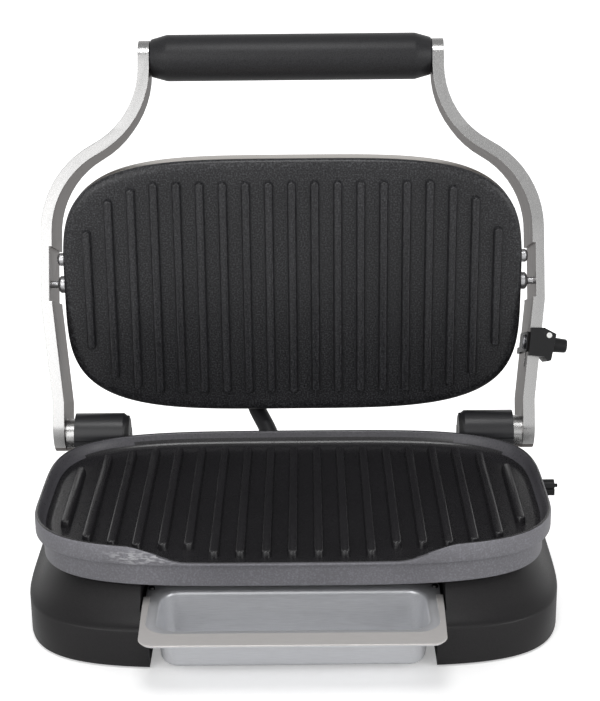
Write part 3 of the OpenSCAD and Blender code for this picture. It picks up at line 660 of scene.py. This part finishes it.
# %% Sizes of the base
BASE_W, BASE_D, BASE_Y, BASE_POWER = 163.5, 119, 10, 4.6
NECK_W, NECK_D = HALF_W - 13, HALF_D - 10.5
HINGE_Y, HINGE_Z = (hinge.y - middle.y) / MM, hinge.z / MM
FOOT, WALL = 1, 25
BAY_W, LEDGE_W, LEDGE_Z, BAY_BACK = 90, 84.3, 31.7, -56
BAY_WALL, COVER_IN, COVER_Z = 2.5, 3, FOOT + 3
PEDESTAL_X, PEDESTAL_HALF_W, PEDESTAL_HALF_D, PEDESTAL_Z = 131.5, 18.5, 13.5, 50
BOSS_X, BOSS_IN, BOSS_R, BOSS_Z = -13, 10, 10.5, WALL + 8
CUT_FRONT, CUT_LOW, CUT_HIGH = -130, -5, 60
print("bay for the tray:", 2 * BAY_W, "mm wide")


# %% Base shell
def base_level(share, z, inset=0):
    """A ring of the base: share goes from the upright wall at 0 to the neck under the plate at 1."""
    half_w = BASE_W + (NECK_W - BASE_W) * share - inset
    half_d = BASE_D + (NECK_D - BASE_D) * share - inset
    power = BASE_POWER + (POWER - BASE_POWER) * share
    return superellipse(half_w, half_d, power, BASE_Y + (PLATE_Y - BASE_Y) * share, z)


shoulder = [(0.03, 25), (0.1, 25.6), (0.2, 26.9), (0.3, 28.7), (0.4, 30.8), (0.5, 33.2), (0.6, 35.7),
            (0.7, 38.1), (0.8, 40.5), (0.9, 43), (1, SKIRT_Z)]
base_levels = [base_level(0, FOOT, 0.8), base_level(0, FOOT + 0.2, 0.2), base_level(0, FOOT + 0.9),
               base_level(0, WALL - 1.4), base_level(0, WALL - 0.5, 0.25)]
base_levels += [base_level(share, z) for share, z in shoulder]
shell = loft(base_levels, 256)
recess = loft([base_level(0, z, COVER_IN) for z in (FOOT - 3, COVER_Z)], 256)
bay_out_w, bay_out_back = BAY_W + BAY_WALL, BAY_BACK + BAY_WALL
recess = cut(recess, block((-bay_out_w, -120, CUT_LOW), (bay_out_w, bay_out_back, CUT_HIGH)))
shell = cut(shell, recess)
shell = cut(shell, block((-LEDGE_W, CUT_FRONT, CUT_LOW), (LEDGE_W, BAY_BACK, LEDGE_Z + 5)))
shell = cut(shell, block((-BAY_W, CUT_FRONT, LEDGE_Z), (BAY_W, BAY_BACK, CUT_HIGH)))
for sign in (-1, 1):
    pedestal = loft([round_rect(PEDESTAL_HALF_W, HINGE_Y - PEDESTAL_HALF_D, HINGE_Y + PEDESTAL_HALF_D, 3, z)
                     for z in (WALL - 4, PEDESTAL_Z)], 48)
    bmesh.ops.translate(pedestal, vec=(sign * PEDESTAL_X, 0, 0), verts=pedestal.verts)
    shell = join(shell, pedestal)
boss = turned([(WALL - 6, 0), (WALL - 6, BOSS_R), (BOSS_Z, BOSS_R), (BOSS_Z, 0)])
bmesh.ops.rotate(boss, cent=(0, 0, 0), matrix=Matrix.Rotation(-math.pi / 2, 3, "Y"), verts=boss.verts)
bmesh.ops.translate(boss, vec=(BOSS_X, BASE_Y + BASE_D - BOSS_IN, 0), verts=boss.verts)
shell = join(shell, boss)
base_shell = finish(shell, "base_shell", "base", base_plastic, BASE, ["base_housing"], bevel=0.7, sharp=40)
print("base shell faces:", len(base_shell.data.polygons))

# %% [markdown]
# The bottom of the base is a flat cover held by four screws, with a rubber foot
# near each corner. Inside are the heaters, their reflectors and thermostats. They
# are simple solids and could be drawn again, but a bevel on a copy of the CAD
# shape gives what the eye sees, and what is closed in only needs its material.

# %% Small parts under and inside the base
CORNERS = ["front_left", "front_right", "rear_left", "rear_right"]
finish(copy_of("base_cover"), "bottom_cover", "base", housing_plastic, stands_for=["base_cover"], bevel=0.4)
for corner in CORNERS:
    finish(copy_of("foot_" + corner), "rubber_foot_" + corner, "base", rubber,
           stands_for=["foot_" + corner], bevel=0.5)
    finish(copy_of("base_screw_" + corner), "cover_screw_" + corner, "base", zinc_metal,
           stands_for=["base_screw_" + corner], bevel=0.3)
inner = {"lower_element": sheath_metal, "lid_element": sheath_metal, "lower_reflector": reflector_metal,
         "lid_reflector": reflector_metal, "lower_thermostat": ceramic, "lid_thermostat": ceramic,
         "thermal_fuse": ceramic, "lid_bracket_left": zinc_metal, "lid_bracket_right": zinc_metal,
         "handle_rod": pin_metal, "keeper_rivet": black_plastic}
for node, material in inner.items():
    nodes[node].data.materials[0] = material
print("inner parts with a finish:", len(inner))

# %% [markdown]
# ## Hinge housings
#
# A moulded housing at each rear corner holds the hinge pin of an arm. It is made
# of two shells that meet at the height of the axis. A dark line painted there
# would look flat from the side, so the CAD shape is split instead, and each half
# ends a little short of the axis. The upper half is drawn a tenth taller, as in
# the photograph. A dark core inside shows in the seam.

# %% Hinge housings and pins
SIDES = (("left", -1), ("right", 1))
SEAM, UPPER_TALLER = 0.35, 1.1
CORE_START, CORE_LENGTH, CORE_R = 0.6, 36, 12.9


def housing_half(node, direction):
    """The half of a housing above its axis, or below it where direction is -1."""
    half = copy_of(node)
    for v in half.verts:
        v.co.z = hinge.z + (v.co.z - hinge.z) * (UPPER_TALLER if v.co.z > hinge.z else 1)
    cutting = bmesh.ops.bisect_plane(half, geom=half.verts[:] + half.edges[:] + half.faces[:], dist=1e-6,
                                     plane_co=(0, 0, hinge.z + direction * SEAM * MM),
                                     plane_no=(0, 0, direction), clear_inner=True)
    rims = [g for g in cutting["geom_cut"] if isinstance(g, bmesh.types.BMEdge)]
    bmesh.ops.holes_fill(half, edges=rims, sides=0)
    return half


for side, sign in SIDES:
    node = "hinge_housing_" + side
    for part, direction in (("upper", 1), ("lower", -1)):
        finish(housing_half(node, direction), f"{node}_{part}", "base", housing_plastic,
               stands_for=[node], bevel=0.9, segments=3)
    low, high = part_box(node)
    inner_x = abs((high.x if sign < 0 else low.x) - middle.x) / MM
    start, end = inner_x + CORE_START, inner_x + CORE_LENGTH
    core = turned([(start, 0), (start, CORE_R), (end, CORE_R), (end, 0)])
    bmesh.ops.scale(core, vec=(sign, 1, 1), verts=core.verts)
    finish(core, f"hinge_core_{side}", "base", rubber, BASE @ Matrix.Translation((0, HINGE_Y, HINGE_Z)))
    finish(copy_of("hinge_pin_" + side), f"hinge_bolt_{side}", "base", pin_metal,
           stands_for=["hinge_pin_" + side], bevel=0.7, segments=3)
    print(side, "housing starts", round(inner_x, 1), "mm from the middle")

# %% [markdown]
# A black hook on the right side of the base keeps the closed bail. The lead and
# the mains wires come out through rubber glands. All of them are copies of their
# CAD shapes with soft edges, as they are small and simple, and the hook sits a
# little further in, as in the photograph.

# %% Side keeper and glands
KEEPER_IN = 1.6
finish(copy_of("side_keeper"), "side_keeper_hook", "base", black_plastic,
       Matrix.Translation((-KEEPER_IN * MM, 0, 0)), ["side_keeper"], bevel=0.8, segments=3)
for node, body in (("mains_gland", "base"), ("lead_gland_base", "base"), ("lead_gland_lid", "lid")):
    finish(copy_of(node), node + "_sleeve", body, rubber, stands_for=[node], bevel=0.5)
    print(node, "rides on", body)

# %% [markdown]
# ## Bail arms and grip
#
# The arms are extruded aluminium bars, bent twice. Their outsides and front edges
# are satin, and the sides that face the lid keep the lines of the extrusion and
# get a darker tone, which is painted shade. Strips laid on the arms could show
# that, but the real arm is one bar, so its faces are painted by their direction.
# The grip is a straight moulded bar with a cone at each end. It sits on a rod
# between the arms' top ends, with a screw from outside.

# %% Arms, grip and its screws
back_lean = Matrix.Rotation(LEAN, 3, "X")


def faces_lid(sign):
    """Chooses an arm's faces towards the lid, which get the painted shade, without its front, back and top
    edges.
    """
    def chosen(centre, normal):
        upright = back_lean @ normal
        return abs(upright.y) < 0.5 and normal.x * sign < 0.3 and upright.z < 0.9
    return chosen


for side, sign in SIDES:
    arm_mesh = copy_of("arm_" + side)
    # The faces towards the lid get the darker material, a painted shade.
    paint(arm_mesh, 1, faces_lid(sign))
    finish(arm_mesh, "bail_arm_" + side, "arms", [arm_metal, painted_shade_side_metal],
           stands_for=["arm_" + side], bevel=0.9, sharp=28, segments=3)
    finish(copy_of("handle_screw_" + side), "grip_screw_" + side, "arms", pin_metal,
           stands_for=["handle_screw_" + side], bevel=0.5)

HANDLE_R = 260.7
GRIP_LEN, GRIP_R, GRIP_CONE = 194.4, 16, 11
half = GRIP_LEN / 2
grip_end = [(half - GRIP_CONE - 1.2, GRIP_R), (half - GRIP_CONE, GRIP_R - 0.1),
            (half - GRIP_CONE + 1.2, GRIP_R - 0.45), (half - 1, GRIP_R - 2.9), (half - 0.3, GRIP_R - 3.4),
            (half, GRIP_R - 4.2), (half, 0)]
grip_profile = [(-x, r) for x, r in reversed(grip_end)] + grip_end
finish(turned(grip_profile, 96), "grip_bar", "arms", grip_plastic,
       ARM @ Matrix.Translation((0, 0, HANDLE_R)), ["handle_grip"])
print("grip:", GRIP_LEN, "mm long and", 2 * GRIP_R, "mm thick")

# %% [markdown]
# ## Lid
#
# The lid is the upper plate with a shallow domed cover. The plate's edge is
# rounded all the way to its face. The cover is a drawn aluminium shell with a
# flat top, and from the front it only shows as a thin bright line. A half sphere
# that is scaled flat would be round in plan, so both are rings of the plate's own
# squarish oval, from the joint inwards.

# %% Lid plate, cover and pins
LID_W, LID_D, LID_BACK, LID_T = 156.8, 89.7, -10, 46


def lid_level(inset, z):
    """A ring of the lid."""
    return superellipse(LID_W - inset, LID_D - inset, POWER, 0, z)


face_profile = [(2, LID_BACK + 0.05), (0.6, LID_BACK + 0.05), (0, LID_BACK + 1), (0, -8.2), (0.25, -7.2),
                (0.9, -6.3), (1.9, -5.6), (3.2, -5.1), (5, -4.7), (7.5, -RIB_H)]
lid_mesh = loft([lid_level(inset, z) for inset, z in face_profile], 288)
add_ribs(lid_mesh, -RIB_H - RIB_SINK, 0, 0)
finish(lid_mesh, "lid_grill_plate", "lid", lid_coating, LID, ["lid_plate"])

dome = [(46, 1), (36, 0.992), (28, 0.978), (20, 0.945), (14, 0.895), (9.5, 0.83), (6, 0.745), (3.6, 0.65),
        (2, 0.54), (1, 0.42), (0.4, 0.25), (0.2, 0.06), (0.2, 0.01)]
cover_mesh = loft([lid_level(inset, LID_BACK - share * (LID_T + LID_BACK)) for inset, share in dome]
                  + [lid_level(1.4, LID_BACK - 0.05), lid_level(3, LID_BACK - 0.05)], 256)
finish(cover_mesh, "lid_cover_shell", "lid", cover_metal, LID, ["lid_cover"])
for node in ("pivot_pin_left", "pivot_pin_right", "stop_pin_left", "stop_pin_right"):
    finish(copy_of(node), node + "_dome", "lid", pin_metal, stands_for=[node], bevel=0.7, segments=3)
print("lid:", 2 * LID_W, "mm wide and", LID_T, "mm thick")

# %% [markdown]
# ## Drip tray
#
# The tray is pressed from one sheet: a pan with a sloping front and a flat
# flange. A solid block with a hollow cut into it would have no sheet thickness,
# so one loft runs from the pan's floor up over the flange, round its edge and
# back under to the pan's outside. A thin satin trim lies on the flange round the
# front, and two black studs stand behind its ends.

# %% Sizes of the tray
TRIM_W, TRAY_FRONT, TRAY_BACK, TRAY_Z = 89.3, -141.5, -60, 34
SHEET, TRIM_BAND, TRIM_SIDE, TAPER = 1, 14, 4.1, 1.8
FLANGE_W, FLANGE_Z = TRIM_W - 1.1, TRAY_Z - SHEET
PAN_W, PAN_FRONT, PAN_BACK, PAN_FLOOR = 80, TRAY_FRONT + TRIM_BAND + 5.4, TRAY_BACK - 12.5, 3
PAN_CORNER, SIDE_DRAFT, FRONT_SLOPE, BACK_DRAFT = 10.5, 2.5, 10.2, 1.5
STEP_Y, TRIM_CORNER, WINDOW_CORNER = -82, 9, 14
STUD_X, STUD_Y, STUD_R, STUD_TOP_R, STUD_H = 85.2, -70, 2.1, 1.5, 1.6
print("tray depth:", TRAY_Z - PAN_FLOOR, "mm")


# %% Tray
def pan_level(share, skin, z):
    """A ring of the pan: share goes from the floor at 0 to the flange at 1."""
    low = 1 - share
    return round_rect(PAN_W - SIDE_DRAFT * low - skin, PAN_FRONT + FRONT_SLOPE * low + skin,
                      PAN_BACK - BACK_DRAFT * low - skin, PAN_CORNER + 1.5 * share - skin, z)


def flange_level(inset, z):
    """A ring of the flange's outline."""
    return round_rect(FLANGE_W - inset, TRAY_FRONT + 1.1 + inset, TRAY_BACK - inset, 8 - inset, z)


def drawn_in(y):
    """The width of the tray's edge at y as a share of its width at the step."""
    return 1 - TAPER / TRIM_W * (STEP_Y - y) / (STEP_Y - TRAY_FRONT)


tray_mesh = loft([
    pan_level(0, 5, PAN_FLOOR + 1), pan_level(0, 3, PAN_FLOOR + 1.3), pan_level(0.05, 1.7, PAN_FLOOR + 2.3),
    pan_level(0.12, 1.1, PAN_FLOOR + 4), pan_level(0.9, 1, FLANGE_Z - 2.6),
    pan_level(0.95, 0.75, FLANGE_Z - 1.3), pan_level(1, 0.2, FLANGE_Z - 0.4), pan_level(1, -0.8, FLANGE_Z),
    flange_level(0.3, FLANGE_Z), flange_level(0, FLANGE_Z - 0.3), flange_level(0, FLANGE_Z - 0.8),
    flange_level(0.2, FLANGE_Z - SHEET), pan_level(1, -0.6, FLANGE_Z - SHEET),
    pan_level(0.94, 0, FLANGE_Z - 2), pan_level(0.12, 0.1, PAN_FLOOR + 4),
    pan_level(0.04, 0.6, PAN_FLOOR + 2), pan_level(0, 1.8, PAN_FLOOR + 0.5), pan_level(0, 4, PAN_FLOOR)], 128)
for v in tray_mesh.verts:
    on_flange = abs(v.co.x) > PAN_W + 1.5 or v.co.y < PAN_FRONT - 1.5
    if on_flange and v.co.y < STEP_Y and v.co.z > FLANGE_Z - 1.3:
        v.co.x *= drawn_in(v.co.y)
finish(tray_mesh, "drip_tray_pan", "tray", tray_metal, BASE, ["drip_tray"], sharp=60)
print("tray reaches", round(STEP_Y - TRAY_FRONT, 1), "mm in front of its step")


# %% Trim and studs
def trim_outer(inset, z):
    """The trim's outline: round corners in front, square ones behind, drawn in to the front."""
    ring = round_rect(TRIM_W - inset, TRAY_FRONT + inset, STEP_Y + TRIM_CORNER, TRIM_CORNER - inset, z)

    def at(angle):
        p = ring(angle)
        p.y = min(p.y, STEP_Y)
        p.x *= drawn_in(p.y)
        return p
    return at


trim_mesh = loft([trim_outer(0.3, FLANGE_Z), trim_outer(0, FLANGE_Z + 0.3), trim_outer(0, TRAY_Z - 0.3),
                  trim_outer(0.3, TRAY_Z)], 128)
window = loft([round_rect(TRIM_W - TRIM_SIDE, TRAY_FRONT + TRIM_BAND, STEP_Y + 40, WINDOW_CORNER, z)
               for z in (FLANGE_Z - 1, TRAY_Z + 1)], 96)
finish(cut(trim_mesh, window), "drip_tray_trim", "tray", trim_metal, BASE)
stud_profile = [(0, 0), (0, STUD_R), (STUD_H, STUD_TOP_R), (STUD_H, 0)]
standing = Matrix.Rotation(-math.pi / 2, 4, "Y")
for side, sign in SIDES:
    finish(turned(stud_profile, 32), "tray_clip_" + side, "tray", black_plastic,
           BASE @ Matrix.Translation((sign * STUD_X, STUD_Y, FLANGE_Z)) @ standing,
           ["tray_stud_" + side], bevel=0.3)
print("studs:", 2 * STUD_X, "mm apart")

# %% [markdown]
# ## Height adjuster
#
# A black slide on the right arm limits how far the lid comes down. It has an
# outer block with a small white dot, an inner plate, and a clamp screw with a small
# tapered knob that passes through a slot in the arm. The CAD shapes have its
# steps already, so a table of copies with soft edges is the short way.

# %% Adjuster
for node, name, body, material, bevel in (
        ("adjuster_block", "height_slide_block", "adjuster", black_plastic, 0.8),
        ("adjuster_plate", "height_slide_plate", "adjuster", black_plastic, 0.3),
        ("index_dot", "white_spot_disc", "adjuster", white_spot_material, 0.3),
        ("adjuster_knob", "clamp_knob", "knob", black_plastic, 0.5),
        ("adjuster_screw", "clamp_screw", "knob", zinc_metal, 0.3)):
    finish(copy_of(node), name, body, material, stands_for=[node], bevel=bevel, segments=3)
    print(name, "rides on", body)

# %% [markdown]
# ## Lead between base and lid
#
# A short sleeved lead feeds the lid's heater. It leaves the base behind the lower
# plate and goes up into the lid. A curve with a round section follows a chosen
# route, and is made a mesh. When the bail swings over, both ends move, so the lead
# is made in two lengths that meet on the arms' side of the joints.

# %% Lead
LEAD_R = 6
ROUTE = [(-13, 119, 37), (-13, 119.4, 41), (-14.3, 121.5, 47.2), (-17, 127, 52.4), (-20.2, 133.6, 57),
         (-23.6, 140, 61.2), (-26.4, 144, 65), (-27.5, 145.1, 68), (-27.5, 145.1, 70)]
MEET = 4


def lead_piece(name, points):
    """A tube along the points, as a mesh with flat closed ends."""
    curve = bpy.data.curves.new(name, "CURVE")
    curve.dimensions = "3D"
    curve.bevel_depth = LEAD_R * MM
    curve.bevel_resolution = 6
    curve.use_fill_caps = True
    spline = curve.splines.new("NURBS")
    spline.points.add(len(points) - 1)
    for point, at in zip(spline.points, points):
        point.co = (*(BASE @ Vector(at)), 1)
    spline.use_endpoint_u = True
    spline.order_u = 4
    spline.resolution_u = 12
    holder = bpy.data.objects.new(name, curve)
    bpy.context.collection.objects.link(holder)
    mesh = bpy.data.meshes.new_from_object(holder.evaluated_get(bpy.context.evaluated_depsgraph_get()))
    bpy.data.objects.remove(holder)
    piece = bpy.data.objects.new(name, mesh)
    bpy.context.collection.objects.link(piece)
    mesh.materials.append(flex_rubber)
    mesh.shade_smooth()
    return piece


lower_lead = lead_piece("lid_lead_lower", ROUTE[:MEET + 1])
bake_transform(lower_lead)
upper_lead = lead_piece("lid_lead_upper", ROUTE[MEET:])
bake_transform(upper_lead)
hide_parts("lid_lead")
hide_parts("lid_lead")
print("lead length:", round(sum(math.dist(a, b) for a, b in zip(ROUTE, ROUTE[1:]))), "mm")

# %% [markdown]
# ## Floor, light and background
#
# The grill stands on a white sweep in soft studio light. More light could turn a
# grey floor white, but it would wash out the grill too. So the floor gives off a
# little light that only the camera sees, less near the grill, where its shadow
# stays, and more further out. It gives the least round a spot just in front of
# the grill, so the floor there is darker as a painted shadow.

# %% Floor
FLOOR_HALF = 6
# GLOW_AT is the spot in front of the grill where the weakest glow paints a shadow.
GLOW_AT, GLOW_NEAR, GLOW_FAR = (0, -0.2, 0), 0.24, 0.9
GLOW_START, GLOW_END = 0.08, 0.4

floor_mesh = bmesh.new()
bmesh.ops.create_grid(floor_mesh, x_segments=1, y_segments=1, size=FLOOR_HALF)
floor_data = bpy.data.meshes.new("floor")
floor_mesh.to_mesh(floor_data)
floor_mesh.free()
floor = bpy.data.objects.new("floor", floor_data)
bpy.context.collection.objects.link(floor)
floor_paint, tree, shader, place = plain_finish("white_floor", "#f4f4f4", 0.9, shine=0.1)
rays = add(tree, "ShaderNodeLightPath").outputs
away = add(tree, "ShaderNodeVectorMath", {"operation": "DISTANCE", 1: GLOW_AT}, {0: place})
glow = add(tree, "ShaderNodeMapRange",
           {"From Min": GLOW_START, "From Max": GLOW_END, "To Min": GLOW_NEAR, "To Max": GLOW_FAR},
           {"Value": away.outputs["Value"]})
seen = add(tree, "ShaderNodeMath", {"operation": "MULTIPLY"},
           {0: rays["Is Camera Ray"], 1: glow.outputs["Result"]})
shader.inputs["Emission Color"].default_value = colour("#ffffff")
tree.links.new(seen.outputs[0], shader.inputs["Emission Strength"])
floor_data.materials.append(floor_paint)
print("floor:", 2 * FLOOR_HALF, "m square")

# %% [markdown]
# The background is the world. Camera and transmitted rays see it as white. Glossy
# rays see it as white near the horizon and darker overhead, which gives the metal
# something bright to mirror and keeps the dark plastics and the coating from
# looking washed out. All other rays get a plain, dimmer level, so that the object
# isn't lit by its own background.

# %% World
SKY_BRIGHT, SKY_DARK, SKY_FILL = 1.0, 0.2, 0.45
world = bpy.data.worlds.new("studio")
bpy.context.scene.world = world
world.use_nodes = True
tree = world.node_tree
tree.nodes.clear()
rays = add(tree, "ShaderNodeLightPath").outputs
seen = add(tree, "ShaderNodeMath", {"operation": "MAXIMUM"},
           {0: rays["Is Camera Ray"], 1: rays["Is Transmission Ray"]})
direction = add(tree, "ShaderNodeSeparateXYZ", {}, {0: add(tree, "ShaderNodeTexCoord").outputs["Generated"]})
ceiling = add(tree, "ShaderNodeMapRange",
              {"From Min": 0.35, "From Max": 0.8, "To Min": SKY_BRIGHT, "To Max": SKY_DARK},
              {"Value": direction.outputs["Z"]})
mirrored = add(tree, "ShaderNodeMath", {"operation": "MULTIPLY"},
               {0: rays["Is Glossy Ray"], 1: ceiling.outputs["Result"]})
brighter = add(tree, "ShaderNodeMath", {"operation": "MAXIMUM"}, {0: seen.outputs[0], 1: mirrored.outputs[0]})
strength = add(tree, "ShaderNodeMath", {"operation": "MAXIMUM", 1: SKY_FILL}, {0: brighter.outputs[0]})
backdrop = add(tree, "ShaderNodeBackground", {"Color": colour("#ffffff")}, {"Strength": strength.outputs[0]})
add(tree, "ShaderNodeOutputWorld", {}, {"Surface": backdrop.outputs[0]})
print("world nodes:", len(tree.nodes))

# %% [markdown]
# Three square lamps light the grill: one above the front, and a larger one at
# each side of the camera. Their size sets how soft the shadows are, and their
# places decide which edges of the arms shine. A sun lamp would give hard edges,
# and a picture of a studio would have to be carried along.


# %% Lamps
def lamp(name, at, target, size, power):
    """A square soft lamp at a place in metres, aimed at another."""
    data = bpy.data.lights.new(name, "AREA")
    data.size = size
    data.energy = power
    item = bpy.data.objects.new(name, data)
    aim = (Vector(target) - Vector(at)).to_track_quat("-Z", "Y")
    item.matrix_world = Matrix.Translation(at) @ aim.to_matrix().to_4x4()
    bpy.context.collection.objects.link(item)
    print(name, "gives", power, "W")


lamp("top_lamp", (-0.05, -0.6, 1.75), (0, 0, 0.1), 0.6, 9)
lamp("left_lamp", (-1.02, -1.7, 1.0), (0, 0, 0.15), 1.4, 12)
lamp("right_lamp", (1.7, -1.2, 0.8), (0, 0, 0.15), 1.0, 9)
bpy.context.scene.view_settings.view_transform = "Standard"
